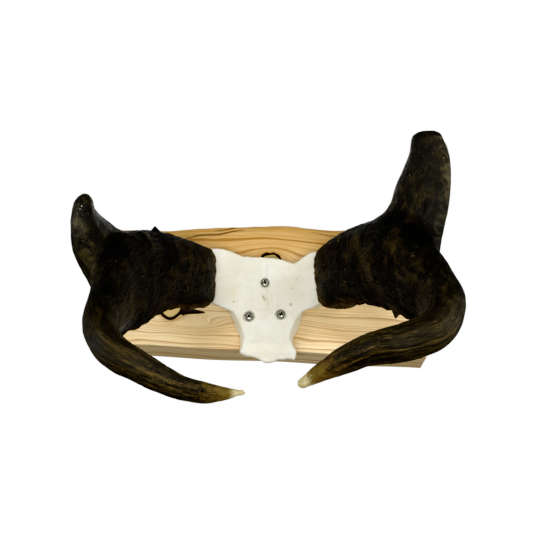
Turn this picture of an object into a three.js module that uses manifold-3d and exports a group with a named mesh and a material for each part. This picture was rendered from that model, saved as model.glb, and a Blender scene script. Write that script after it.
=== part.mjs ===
// Pronghorn skull plate with both horn sheaths, screwed to a natural-edge wooden plaque.
// Millimetres. +Z is up the wall, -Y comes out of the wall towards the room, +X is to the
// right as seen from the room. The origin is the middle of the plaque's flat back face.
import * as THREE from 'three';
import { LoftGeometry } from 'three/addons/geometries/LoftGeometry.js';
import { mergeVertices } from 'three/addons/utils/BufferGeometryUtils.js';
import Module from 'manifold-3d';

const wasm = await Module();
wasm.setup();

// ---- driving dimensions ------------------------------------------------------------------
const GAP = 0.3;                 // air left between neighbouring pieces

// plaque: a thick board with a live edge along its top
const BOARD_LEFT = -125;
const BOARD_RIGHT = 129;
const BOARD_THICK = 38;
const BOARD_TOP = 52.3;          // mean height of the live edge over the origin
const BOARD_TOP_SWELL = 3.2;     // the edge bulges round a knot near the middle
const BOARD_BOTTOM = -52.5;      // mean height of the sawn lower edge
const BOARD_BOTTOM_SLOPE = -0.045;
const BOARD_BOTTOM_LEAN = 2.4;   // the sawn lower face drops this much towards the wall
const BOARD_FRONT_ROUND = 9;     // rounding of the live edge, front and back
const BOARD_BACK_ROUND = 5;
const BOARD_EASE = 1.2;          // eased sawn corners
const BOARD_STEPS = 26;

// skull plate: bone from the sawn frontal edge down to the nuchal crest
const PLATE_BACK = BOARD_THICK + GAP;
const PLATE_ACROSS = 22;         // facets across the dome
const PLATE_STEPS = 24;          // facets from front edge to crest
const PLATE_CURVE = 2.4;         // exponent of the dome across the plate
const PEDICLE_SHRINK = 0.93;     // bony horn core base against the sheath over it

// horn sheaths
const HORN_SIDES = 22;
const HORN_POWER = 2.2;          // superellipse exponent of a sheath's section
const BEAM_STATIONS = 11;        // intervals between a beam's stations
const FORK_AT = 4.55;            // where the shaft ends, just past the prong's root
const BEND_AT = 8.0;             // where the hooked tip begins
const STEPS_PER_STATION = 3.4;
const PRONG_STEPS = 13;

// pan-head cross-recess screws
const HEAD_RADIUS = 3.6;
const HEAD_HEIGHT = 2.5;
const SHANK_RADIUS = 1.8;
const SCREW_REACH = 24;          // how far the point goes below the board's face
const RECESS_LENGTH = 4.0;
const RECESS_WIDTH = 0.95;
const RECESS_DEPTH = 1.5;
const SCREW_SIDES = 20;

// ---- stations ----------------------------------------------------------------------------
// One station of a horn: centre x, distance out of the wall, height, front-to-back width,
// side-to-side width, and the direction of the front-to-back width as x, out, up.
const RIGHT_BEAM = [
  [56, 62, 2.5, 51, 36, 0, 0.25, 1],
  [64, 88, 3, 53, 35, 0, 0.25, 1],
  [76, 122, -2, 60, 33, 0, 0.25, 1],
  [90, 158, -12, 64, 31, 0, 0.25, 1],
  [102, 194, -32, 58, 28, 0, 0.35, 1],
  [110, 224, -51, 40, 25, 0, 0.5, 0.9],
  [110, 247, -66, 29, 24, 0.2, 0.8, 0.7],
  [100, 263, -82, 25, 23, 0.4, 1, 0.4],
  [81, 267, -90, 24, 21, 0.2, 1, 0.4],
  [61, 260, -93, 20, 17, 0.2, 1, 0.4],
  [40, 249, -101, 15, 13, 0.2, 1, 0.4],
  [22, 239, -110, 6, 6, 0.2, 1, 0.4],
];
const RIGHT_PRONG = [
  [93, 160, -16, 62, 21, 0.55, 0.8, -0.2],
  [101.5, 173, 6, 57, 20, 0.55, 0.8, -0.2],
  [108, 187, 31, 54, 20.5, 0.55, 0.8, -0.2],
  [111.8, 195, 52, 41.5, 17.5, 0.55, 0.8, -0.2],
  [110.5, 200, 65, 29.5, 13.5, 0.55, 0.8, -0.2],
  [110, 201.5, 70, 18, 9, 0.55, 0.8, -0.2],
  [110, 202, 71.8, 7, 4, 0.55, 0.8, -0.2],
];
const LEFT_BEAM = [
  [-58, 62, 2.5, 50, 36, 0, 0.25, 1],
  [-65, 88, -1, 51, 35, 0, 0.25, 1],
  [-78, 122, -8, 57, 33, 0, 0.25, 1],
  [-91, 158, -22, 66, 31, 0, 0.25, 1],
  [-100, 192, -39, 63, 27, 0, 0.4, 1],
  [-103, 222, -61, 40, 23, 0, 0.5, 0.9],
  [-102, 245, -77, 27, 21, -0.2, 0.8, 0.7],
  [-92, 262, -93, 23, 20, -0.4, 1, 0.4],
  [-74, 266, -105, 22, 18, -0.2, 1, 0.4],
  [-52, 259, -115, 17, 12.5, -0.2, 1, 0.4],
  [-33, 250, -118, 13, 10, -0.2, 1, 0.4],
  [-15, 241, -116, 4, 4, -0.2, 1, 0.4],
];
const LEFT_PRONG = [
  [-94, 158, -31, 66, 22, -0.3, 0.9, -0.45],
  [-109, 182, -17, 64, 26, -0.25, 0.9, -0.45],
  [-118, 203, -6, 46, 26, -0.1, 0.9, -0.4],
  [-121, 216, 3, 34, 20, 0, 0.9, -0.4],
  [-120, 223, 10, 20, 13, 0, 0.9, -0.4],
  [-119.5, 225, 14.5, 13, 9, 0, 0.9, -0.4],
  [-119.3, 226, 16.4, 5.5, 4, 0, 0.9, -0.4],
];
// Rows of the skull plate from the sawn front edge to the crest: left edge x and height, height
// on the middle line, right edge x and height, distance out of the wall on the middle and at the rim.
const PLATE_ROWS = [
  [-44, 27.5, 20.3, 40, 25.5, 54, 60],
  [-43, 14, 8, 41, 13, 56.5, 63],
  [-43, -1, -5, 42, -2, 58.3, 62],
  [-44, -15, -17, 44, -15.5, 59.2, 56],
  [-36, -20.2, -22, 36, -21.5, 59.6, 52],
  [-28.6, -24.3, -26.5, 29.4, -24.5, 60, 49],
  [-26.5, -30, -31.5, 27.4, -30, 60.2, 47.5],
  [-24.3, -36, -37, 24.7, -37, 59.8, 46.5],
  [-21.2, -44, -45, 21.2, -44, 58, 46],
  [-20.4, -51.3, -53, 22, -51, 55.5, 46.5],
  [-22, -55.5, -59, 24.2, -55, 53.5, 47],
  [-20.4, -57.8, -64.3, 22, -62, 50.5, 46.5],
];
// Screws: x, height, distance of the seat out of the wall, turn of the cross in degrees.
const SCREWS = {
  screw_top: [-1.2, -0.8, 57.0, 12],
  screw_lower_left: [-13.9, -28.6, 57.4, 38],
  screw_lower_right: [11.5, -27, 57.9, 65],
};

// ---- helpers -----------------------------------------------------------------------------
const wall = (x, out, up) => new THREE.Vector3(x, -out, up);

function solid(geometry) {
  const bare = new THREE.BufferGeometry();       // position only, so that shared corners merge
  bare.setAttribute('position', geometry.attributes.position);
  bare.setIndex(geometry.index);
  const merged = mergeVertices(bare, 1e-4);
  return new wasm.Manifold(new wasm.Mesh({
    numProp: 3,
    vertProperties: new Float32Array(merged.attributes.position.array),
    triVerts: new Uint32Array(merged.index.array),
  }));
}

function shape(manifold) {
  const mesh = manifold.getMesh();
  const geometry = new THREE.BufferGeometry();
  const flat = new Float32Array(mesh.numVert * 3);
  for (let i = 0; i < mesh.numVert; i++) {
    for (let k = 0; k < 3; k++) flat[3 * i + k] = mesh.vertProperties[mesh.numProp * i + k];
  }
  geometry.setAttribute('position', new THREE.BufferAttribute(flat, 3));
  geometry.setIndex(Array.from(mesh.triVerts));
  geometry.computeVertexNormals();
  return geometry;
}

function largest(manifold) {
  return manifold.decompose().reduce((a, b) => (b.volume() > a.volume() ? b : a));
}

// A limb is three curves run together through its stations: centre, widths and wide direction.
function limb(stations) {
  const curve = (points) => new THREE.CatmullRomCurve3(points, false, 'catmullrom', 0.5);
  return {
    count: stations.length - 1,
    centre: curve(stations.map((s) => wall(s[0], s[1], s[2]))),
    width: curve(stations.map((s) => new THREE.Vector3(s[3], s[4], 0))),
    wide: curve(stations.map((s) => wall(s[5], s[6], s[7]))),
  };
}

// One superellipse section of a limb at station number s, grown outwards by grow.
function section(l, s, grow = 0) {
  const t = THREE.MathUtils.clamp(s / l.count, 0, 1);
  const p = l.centre.getPoint(t);
  const along = l.centre.getTangent(t);
  const w = l.width.getPoint(t);
  const a = l.wide.getPoint(t);
  a.addScaledVector(along, -a.dot(along)).normalize();
  const b = new THREE.Vector3().crossVectors(along, a);
  const ring = [];
  for (let i = 0; i < HORN_SIDES; i++) {
    const th = (2 * Math.PI * i) / HORN_SIDES;
    const c = Math.sign(Math.cos(th)) * Math.abs(Math.cos(th)) ** (2 / HORN_POWER);
    const d = Math.sign(Math.sin(th)) * Math.abs(Math.sin(th)) ** (2 / HORN_POWER);
    ring.push(p.clone()
      .addScaledVector(a, c * (w.x / 2 + grow))
      .addScaledVector(b, d * (w.y / 2 + grow)));
  }
  return { ring, along };
}

function loftRings(rings) {
  return new LoftGeometry(rings, { closed: true, capStart: true, capEnd: true });
}

// A length of a limb from one station to another. Its first ring is set off by setOff along the
// limb, so that it faces the length before it across a parallel gap.
function length(l, from, to, steps, setOff = 0, grow = 0) {
  const rings = [];
  for (let i = 0; i <= steps; i++) {
    const { ring, along } = section(l, from + ((to - from) * i) / steps, grow);
    if (i === 0 && setOff) ring.forEach((q) => q.addScaledVector(along, setOff));
    rings.push(ring);
  }
  return loftRings(rings);
}

// A small pointed knob standing on a limb at station s, at angle degrees round its section.
function knob(l, s, angle, radius, height, sink) {
  const { along } = section(l, s);
  const t = s / l.count;
  const p = l.centre.getPoint(t);
  const w = l.width.getPoint(t);
  const a = l.wide.getPoint(t);
  a.addScaledVector(along, -a.dot(along)).normalize();
  const b = new THREE.Vector3().crossVectors(along, a);
  const th = THREE.MathUtils.degToRad(angle);
  const out = a.clone().multiplyScalar(Math.cos(th)).addScaledVector(b, Math.sin(th));
  const reach = new THREE.Vector2(Math.cos(th) * w.x / 2, Math.sin(th) * w.y / 2).length();
  const g = new THREE.ConeGeometry(radius, height + sink, 9);
  g.translate(0, (height + sink) / 2 - sink, 0);
  g.applyQuaternion(new THREE.Quaternion().setFromUnitVectors(new THREE.Vector3(0, 1, 0), out));
  const at = p.clone().addScaledVector(out, reach);
  g.translate(at.x, at.y, at.z);
  return solid(g);
}

// ---- materials ---------------------------------------------------------------------------
const horn = () => new THREE.MeshStandardMaterial({ color: 0x1d1510, roughness: 0.62, metalness: 0 });
const hornTip = () => new THREE.MeshStandardMaterial({ color: 0x4a3018, roughness: 0.45, metalness: 0 });
const bone = () => new THREE.MeshStandardMaterial({ color: 0xe9e3d2, roughness: 0.7, metalness: 0 });
const pine = () => new THREE.MeshStandardMaterial({ color: 0xcfa878, roughness: 0.65, metalness: 0 });
const zinc = () => new THREE.MeshStandardMaterial({ color: 0xb9bbbd, roughness: 0.3, metalness: 1 });

const model = new THREE.Group();
model.name = 'pronghorn_plaque';
function add(group, name, geometry, material) {
  const mesh = new THREE.Mesh(geometry, material);
  mesh.name = name;
  group.add(mesh);
  return mesh;
}

// ---- horns -------------------------------------------------------------------------------
function buildHorn(side, beamStations, prongStations, knobs) {
  const group = new THREE.Group();
  const beam = limb(beamStations);
  const prong = limb(prongStations);
  const steps = (a, b) => Math.round((b - a) * STEPS_PER_STATION);

  let shaft = solid(length(beam, 0, FORK_AT, steps(0, FORK_AT)));
  for (const k of knobs) shaft = shaft.add(knob(beam, ...k));
  add(group, `horn_${side}_shaft`, shape(largest(shaft)), horn());
  add(group, `horn_${side}_hook`,
    length(beam, FORK_AT, BEND_AT, steps(FORK_AT, BEND_AT), GAP), horn());
  add(group, `horn_${side}_tip`,
    length(beam, BEND_AT, BEAM_STATIONS, steps(BEND_AT, BEAM_STATIONS), GAP), hornTip());

  // The flat prong stands on the beam's front edge: the beam, grown by the gap, is cut from its root.
  const beamSpace = solid(length(beam, 0, BEND_AT, steps(0, BEND_AT), 0, GAP));
  const blade = solid(length(prong, 0, prong.count, PRONG_STEPS)).subtract(beamSpace);
  add(group, `horn_${side}_prong`, shape(largest(blade)), horn());
  return { group, beam };
}

// knobs: station, angle round the section, radius, height, depth of the root
const right = buildHorn('right', RIGHT_BEAM, RIGHT_PRONG, [[3.9, 180, 5, 6, 5]]);
const left = buildHorn('left', LEFT_BEAM, LEFT_PRONG, [[2.3, 0, 4, 2.2, 4]]);
model.add(left.group, right.group);

// ---- plaque ------------------------------------------------------------------------------
function boardSection(x) {
  const f = (x - BOARD_LEFT) / (BOARD_RIGHT - BOARD_LEFT);
  const top = BOARD_TOP - 1.2 * (2 * f - 1) ** 2
    + BOARD_TOP_SWELL * Math.exp(-(((x + 4) / 34) ** 2)) + 0.7 * Math.sin(x / 11);
  const bottom = BOARD_BOTTOM + BOARD_BOTTOM_SLOPE * x + 0.5 * Math.sin(x / 17 + 1);
  const ring = [];
  const put = (out, up) => ring.push(wall(x, out, up));
  put(BOARD_EASE, bottom - BOARD_BOTTOM_LEAN);
  put(0, bottom - BOARD_BOTTOM_LEAN + BOARD_EASE);
  for (let i = 0; i <= 3; i++) {
    const a = (Math.PI / 2) * (i / 3);
    put(BOARD_BACK_ROUND * (1 - Math.cos(a)), top - BOARD_BACK_ROUND * (1 - Math.sin(a)));
  }
  for (let i = 0; i <= 5; i++) {
    const a = (Math.PI / 2) * (1 - i / 5);
    put(BOARD_THICK - BOARD_FRONT_ROUND * (1 - Math.cos(a)), top - BOARD_FRONT_ROUND * (1 - Math.sin(a)));
  }
  put(BOARD_THICK, bottom + BOARD_EASE);
  put(BOARD_THICK - BOARD_EASE, bottom);
  return ring;
}
const boardRings = [];
for (let i = 0; i <= BOARD_STEPS; i++) {
  boardRings.push(boardSection(THREE.MathUtils.lerp(BOARD_LEFT, BOARD_RIGHT, i / BOARD_STEPS)));
}
let board = solid(loftRings(boardRings));

// ---- skull plate -------------------------------------------------------------------------
// Rows run together through three curves: left rim, right rim, and middle height with both depths.
const rowCurve = (pick) => new THREE.CatmullRomCurve3(
  PLATE_ROWS.map((r) => new THREE.Vector3(...pick(r))), false, 'catmullrom', 0.5);
const rimLeft = rowCurve((r) => [r[0], r[1], 0]);
const rimRight = rowCurve((r) => [r[3], r[4], 0]);
const middle = rowCurve((r) => [r[2], r[5], r[6]]);

function plateRow(v) {
  const l = rimLeft.getPoint(v);
  const r = rimRight.getPoint(v);
  const m = middle.getPoint(v);
  const across = (u) => {
    const side = u < 0 ? l : r;
    const k = Math.abs(u);
    return {
      x: THREE.MathUtils.lerp(0, side.x, k),
      up: m.x + (side.y - m.x) * k * k,
      out: m.y + (m.z - m.y) * k ** PLATE_CURVE,
    };
  };
  return across;
}
// The domed face and its flat floor share one rim: a grid of the face, walls round it, and the floor.
function plateGeometry() {
  const points = [];
  const faceAt = [];
  const floorAt = new Map();
  const put = (q, out) => points.push(q.x, -out, q.up) / 3 - 1;
  for (let j = 0; j <= PLATE_STEPS; j++) {
    const across = plateRow(j / PLATE_STEPS);
    faceAt.push([]);
    for (let i = 0; i <= PLATE_ACROSS; i++) {
      const q = across(-1 + (2 * i) / PLATE_ACROSS);
      faceAt[j].push(put(q, q.out));
    }
  }
  const triangles = [];
  const quad = (a, b, c, d) => triangles.push(a, b, c, a, c, d);
  for (let j = 0; j < PLATE_STEPS; j++) {
    for (let i = 0; i < PLATE_ACROSS; i++) {
      quad(faceAt[j][i], faceAt[j + 1][i], faceAt[j + 1][i + 1], faceAt[j][i + 1]);
    }
  }
  // the rim, walked so that each wall quad faces outwards
  const rim = [];
  for (let i = 0; i < PLATE_ACROSS; i++) rim.push(faceAt[0][i]);
  for (let j = 0; j < PLATE_STEPS; j++) rim.push(faceAt[j][PLATE_ACROSS]);
  for (let i = PLATE_ACROSS; i > 0; i--) rim.push(faceAt[PLATE_STEPS][i]);
  for (let j = PLATE_STEPS; j > 0; j--) rim.push(faceAt[j][0]);
  for (const k of rim) {
    floorAt.set(k, put({ x: points[3 * k], up: points[3 * k + 2] }, PLATE_BACK));
  }
  const outline = rim.map((k) => new THREE.Vector2(points[3 * k], points[3 * k + 2]));
  rim.forEach((k, n) => {
    const next = rim[(n + 1) % rim.length];
    quad(k, next, floorAt.get(next), floorAt.get(k));
  });
  for (const [a, b, c] of THREE.ShapeUtils.triangulateShape(outline, [])) {
    const corners = [a, b, c].map((n) => floorAt.get(rim[n]));
    const turn = (outline[b].x - outline[a].x) * (outline[c].y - outline[a].y)
      - (outline[b].y - outline[a].y) * (outline[c].x - outline[a].x);
    if (turn > 0) corners.reverse();              // the floor faces the board
    triangles.push(...corners);
  }
  const geometry = new THREE.BufferGeometry();
  geometry.setAttribute('position', new THREE.Float32BufferAttribute(points, 3));
  geometry.setIndex(triangles);
  return geometry;
}
let plate = solid(plateGeometry());

// A pedicle, the bony base of a horn core, stands under each sheath and fills out to its rim.
function pedicle(l) {
  const { ring, along } = section(l, 0);
  const p = l.centre.getPoint(0);
  const top = ring.map((q) => q.clone().sub(p).multiplyScalar(PEDICLE_SHRINK).add(p)
    .addScaledVector(along, -GAP));
  const waist = top.map((q) => wall(
    p.x * 0.96 + (q.x - p.x) * 0.9, THREE.MathUtils.lerp(PLATE_BACK, -q.y, 0.55), p.z + (q.z - p.z) * 0.9));
  const foot = top.map((q) => wall(p.x * 0.95 + (q.x - p.x) * 1.02, PLATE_BACK, p.z + (q.z - p.z) * 1.02));
  return solid(loftRings([foot, waist, top]));
}
// the sheaths' own space, so that no bone stands in it
const sheathSpace = (l) => solid(length(l, 0, 2, 6, -GAP, GAP));
plate = plate.add(pedicle(left.beam)).add(pedicle(right.beam))
  .subtract(sheathSpace(left.beam)).subtract(sheathSpace(right.beam));

// ---- screws ------------------------------------------------------------------------------
const turned = (profile) => new THREE.LatheGeometry(
  profile.map(([r, h]) => new THREE.Vector2(r, h)), SCREW_SIDES);
const screwGroup = new THREE.Group();
for (const [name, [x, up, seat, turn]] of Object.entries(SCREWS)) {
  const point = BOARD_THICK - SCREW_REACH - seat;          // heights below are over the seat
  const head = solid(turned([
    [0, point], [SHANK_RADIUS * 0.5, point + 4], [SHANK_RADIUS, point + 9], [SHANK_RADIUS, GAP],
    [HEAD_RADIUS * 0.97, GAP], [HEAD_RADIUS, GAP + 0.5], [HEAD_RADIUS * 0.9, GAP + HEAD_HEIGHT * 0.66],
    [HEAD_RADIUS * 0.62, GAP + HEAD_HEIGHT * 0.93], [0, GAP + HEAD_HEIGHT],
  ]));
  let cut = head;
  for (const spin of [0, 90]) {
    const slot = new THREE.BoxGeometry(RECESS_LENGTH, RECESS_DEPTH * 2, RECESS_WIDTH);
    slot.rotateY(THREE.MathUtils.degToRad(turn + spin));
    slot.translate(0, GAP + HEAD_HEIGHT, 0);
    cut = cut.subtract(solid(slot));
  }
  const place = (g) => { g.rotateX(Math.PI); g.translate(x, -seat, up); return g; };
  add(screwGroup, name, place(shape(cut)), zinc());

  // clearance hole through the bone and pilot hole in the wood, and a flat seat for the head
  const hole = new THREE.CylinderGeometry(SHANK_RADIUS + GAP, SHANK_RADIUS + GAP, -point + 1, SCREW_SIDES);
  hole.translate(0, (point - 1) / 2 + 0.5, 0);
  const bore = solid(place(hole));
  const seatSpace = new THREE.CylinderGeometry(HEAD_RADIUS + 0.6, HEAD_RADIUS + 0.6, 12, SCREW_SIDES);
  seatSpace.translate(0, 6, 0);
  plate = plate.subtract(bore).subtract(solid(place(seatSpace)));
  board = board.subtract(bore);
}

add(model, 'plaque_board', shape(board), pine());
add(model, 'skull_plate', shape(largest(plate)), bone());
model.add(screwGroup);

export default model;
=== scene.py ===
"""Looks of the mounted pronghorn horns: sheaths, skull plate, plaque and screws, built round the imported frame.

Lengths below are millimetres in the part's frame unless a name ends in _m; meshes are written in metres.
"""

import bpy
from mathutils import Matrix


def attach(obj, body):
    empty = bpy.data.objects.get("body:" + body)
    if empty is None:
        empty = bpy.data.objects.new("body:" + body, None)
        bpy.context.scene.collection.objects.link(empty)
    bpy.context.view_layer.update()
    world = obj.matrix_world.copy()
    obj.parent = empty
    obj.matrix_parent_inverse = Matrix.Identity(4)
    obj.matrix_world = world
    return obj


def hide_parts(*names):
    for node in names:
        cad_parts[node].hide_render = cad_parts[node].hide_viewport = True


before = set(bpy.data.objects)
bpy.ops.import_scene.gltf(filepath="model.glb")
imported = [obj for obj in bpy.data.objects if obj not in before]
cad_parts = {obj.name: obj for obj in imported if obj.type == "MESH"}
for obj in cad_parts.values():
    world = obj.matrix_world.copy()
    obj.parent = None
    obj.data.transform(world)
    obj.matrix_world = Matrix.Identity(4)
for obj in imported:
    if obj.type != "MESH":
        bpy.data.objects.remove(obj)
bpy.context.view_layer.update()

import math
import bpy
import numpy as np
from mathutils import Vector

scene = bpy.context.scene

# =============================================================================================
# numeric tools
# =============================================================================================


def lattice(ix, iy, iz, seed):
    """A repeatable value from -1 to 1 at each whole-number lattice point."""
    n = (ix.astype(np.uint32) * np.uint32(0x8DA6B343)) ^ (iy.astype(np.uint32) * np.uint32(0xD8163841)) \
        ^ (iz.astype(np.uint32) * np.uint32(0xCB1AB31F)) ^ np.uint32((seed * 0x9E3779B1) & 0xFFFFFFFF)
    n ^= n >> np.uint32(15)
    n *= np.uint32(0x2C1B3C6D)
    n ^= n >> np.uint32(12)
    n *= np.uint32(0x297A2D39)
    n ^= n >> np.uint32(15)
    return n.astype(np.float64) / 2147483647.5 - 1.0


def noise(p, seed=0):
    """Smooth value noise from -1 to 1 at points p (N, 3)."""
    i = np.floor(p).astype(np.int64)
    f = p - i
    f = f * f * f * (f * (f * 6 - 15) + 10)
    out = np.zeros(len(p))
    for dx in (0, 1):
        wx = f[:, 0] if dx else 1 - f[:, 0]
        for dy in (0, 1):
            wy = f[:, 1] if dy else 1 - f[:, 1]
            for dz in (0, 1):
                wz = f[:, 2] if dz else 1 - f[:, 2]
                out += wx * wy * wz * lattice(i[:, 0] + dx, i[:, 1] + dy, i[:, 2] + dz, seed)
    return out


def fbm(p, octaves=3, seed=0, gain=0.5):
    total, amp, norm = np.zeros(len(p)), 1.0, 0.0
    for o in range(octaves):
        total += amp * noise(p * (2.03 ** o) + 17.3 * o, seed + 31 * o)
        norm += amp
        amp *= gain
    return total / norm


def cells(p, seed=0):
    """Distance to the nearest of one scattered point per unit cell."""
    base = np.floor(p).astype(np.int64)
    best = np.full(len(p), 9.0)
    for dx in (-1, 0, 1):
        for dy in (-1, 0, 1):
            for dz in (-1, 0, 1):
                c = base + np.array([dx, dy, dz])
                q = np.stack([lattice(c[:, 0], c[:, 1], c[:, 2], seed + k) * 0.5 + 0.5 for k in range(3)], 1)
                best = np.minimum(best, np.linalg.norm(c + q - p, axis=1))
    return best


def smooth(lo, hi, x):
    t = np.clip((x - lo) / (hi - lo), 0.0, 1.0)
    return t * t * (3 - 2 * t)


def smin(a, b, k):
    h = np.maximum(k - np.abs(a - b), 0.0) / k
    return np.minimum(a, b) - h * h * k * 0.25


def smax(a, b, k):
    return -smin(-a, -b, k)


def crom(points, t):
    """Uniform Catmull-Rom through the rows of points, at t from 0 to their last index."""
    P = np.asarray(points, float)
    n = len(P)
    t = np.clip(np.asarray(t, float), 0, n - 1 - 1e-9)
    i = np.floor(t).astype(int)
    f = (t - i)[:, None]
    row = lambda j: P[np.clip(j, 0, n - 1)]
    p1, p2 = row(i), row(i + 1)
    p0 = np.where((i == 0)[:, None], 2 * p1 - p2, row(i - 1))
    p3 = np.where((i + 2 > n - 1)[:, None], 2 * p2 - p1, row(i + 2))
    return 0.5 * (2 * p1 + (p2 - p0) * f + (2 * p0 - 5 * p1 + 4 * p2 - p3) * f * f + (3 * p1 - p0 - 3 * p2 + p3) * f ** 3)


def grid_points(lo, hi, h):
    n = np.ceil((np.asarray(hi, float) - np.asarray(lo, float)) / h).astype(int) + 1
    ax = [lo[k] + h * np.arange(n[k]) for k in range(3)]
    g = np.stack(np.meshgrid(*ax, indexing="ij"), -1).reshape(-1, 3)
    return g, tuple(n)


def coarse_to_fine(field, lo, hi, h, Q, shape, band):
    """The field at every grid point, worked out in full only within a band of its surface."""
    step = 4
    C, cs = grid_points(lo, np.asarray(hi) + step * h, h * step)
    rough = field(C).reshape(cs)
    I = [np.minimum(np.arange(shape[k]) // step, cs[k] - 1) for k in range(3)]
    d = rough[np.ix_(*I)].ravel()
    near = np.abs(d) < band + 1.9 * step * h
    d[near] = field(Q[near])
    return d, near & (np.abs(d) < band)


def surface_nets(d, lo, h):
    """Quads on the zero level of the sampled field d, negative inside."""
    s = d < 0
    corners = [(a, b, c) for a in (0, 1) for b in (0, 1) for c in (0, 1)]
    nx, ny, nz = (k - 1 for k in d.shape)
    count = sum(s[a:a + nx, b:b + ny, c:c + nz].astype(np.int8) for a, b, c in corners)
    live = (count > 0) & (count < 8)
    index = np.full(live.shape, -1, np.int64)
    I, J, K = np.nonzero(live)
    index[live] = np.arange(len(I))
    acc, hits = np.zeros((len(I), 3)), np.zeros(len(I))
    for a in corners:
        for axis in range(3):
            if a[axis]:
                continue
            b = list(a)
            b[axis] = 1
            va = d[I + a[0], J + a[1], K + a[2]]
            vb = d[I + b[0], J + b[1], K + b[2]]
            m = (va < 0) != (vb < 0)
            t = va[m] / (va[m] - vb[m])
            pt = np.tile(np.array(a, float), (m.sum(), 1))
            pt[:, axis] += t
            acc[m] += pt
            hits[m] += 1
    V = np.asarray(lo) + h * (np.stack([I, J, K], 1) + acc / hits[:, None])
    quads = []
    for axis in range(3):
        o1, o2 = [(1, 2), (2, 0), (0, 1)][axis]
        sl = [slice(None)] * 3
        sl[o1], sl[o2] = slice(1, -1), slice(1, -1)
        a, b = list(sl), list(sl)
        a[axis], b[axis] = slice(0, -1), slice(1, None)
        sa, sb = s[tuple(a)], s[tuple(b)]
        at = np.stack(np.nonzero(sa != sb), 1)
        first = sa[sa != sb]
        at[:, o1] += 1
        at[:, o2] += 1
        ring = []
        for d1, d2 in ((-1, -1), (0, -1), (0, 0), (-1, 0)):
            c = at.copy()
            c[:, o1] += d1
            c[:, o2] += d2
            ring.append(index[c[:, 0], c[:, 1], c[:, 2]])
        q = np.stack(ring, 1)
        q[~first] = q[~first][:, ::-1]
        quads.append(q)
    return V, np.concatenate(quads)


def relax(V, Q, rounds, weight=0.5):
    """Evens out a quad mesh a little without shrinking it much."""
    edges = np.concatenate([Q[:, [0, 1]], Q[:, [1, 2]], Q[:, [2, 3]], Q[:, [3, 0]]])
    both = np.concatenate([edges, edges[:, ::-1]])
    deg = np.bincount(both[:, 0], minlength=len(V)).astype(float)[:, None]
    for r in range(rounds):
        for w in (weight, -weight * 1.03):
            mean = np.stack([np.bincount(both[:, 0], V[both[:, 1], k], len(V)) for k in range(3)], 1) / deg
            V = V + w * (mean - V)
    return V


def mesh_object(name, V, Q, subdivide=0):
    """An object with points V in millimetres and quads (or triangles) Q, subdivided if asked."""
    me = bpy.data.meshes.new(name)
    size = Q.shape[1]
    me.vertices.add(len(V))
    me.vertices.foreach_set("co", (V / 1000.0).astype(np.float32).ravel())
    me.loops.add(Q.size)
    me.loops.foreach_set("vertex_index", Q.astype(np.int32).ravel())
    me.polygons.add(len(Q))
    me.polygons.foreach_set("loop_start", np.arange(0, Q.size, size, dtype=np.int32))
    me.update(calc_edges=True)
    ob = bpy.data.objects.new(name, me)
    scene.collection.objects.link(ob)
    if subdivide:
        mod = ob.modifiers.new("fine", "SUBSURF")
        mod.levels = mod.render_levels = subdivide
        dg = bpy.context.evaluated_depsgraph_get()
        fine = bpy.data.meshes.new_from_object(ob.evaluated_get(dg))
        ob.modifiers.clear()
        ob.data = fine
        bpy.data.meshes.remove(me)
        fine.name = name
    return ob


def read_points(ob):
    co = np.zeros(len(ob.data.vertices) * 3, np.float32)
    ob.data.vertices.foreach_get("co", co)
    no = np.zeros_like(co)
    ob.data.vertices.foreach_get("normal", no)
    return co.reshape(-1, 3).astype(float) * 1000.0, no.reshape(-1, 3).astype(float)


def write_points(ob, V):
    ob.data.vertices.foreach_set("co", (V / 1000.0).astype(np.float32).ravel())
    ob.data.update()
    ob.data.shade_smooth()


def attribute(ob, name, values):
    values = np.asarray(values, np.float32)
    if values.ndim == 1:
        ob.data.attributes.new(name, "FLOAT", "POINT").data.foreach_set("value", values)
    else:
        ob.data.attributes.new(name, "FLOAT_VECTOR", "POINT").data.foreach_set("vector", values.ravel())


# =============================================================================================
# limbs: a centre line with two widths, used for sheaths and pedicles
# =============================================================================================


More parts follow.
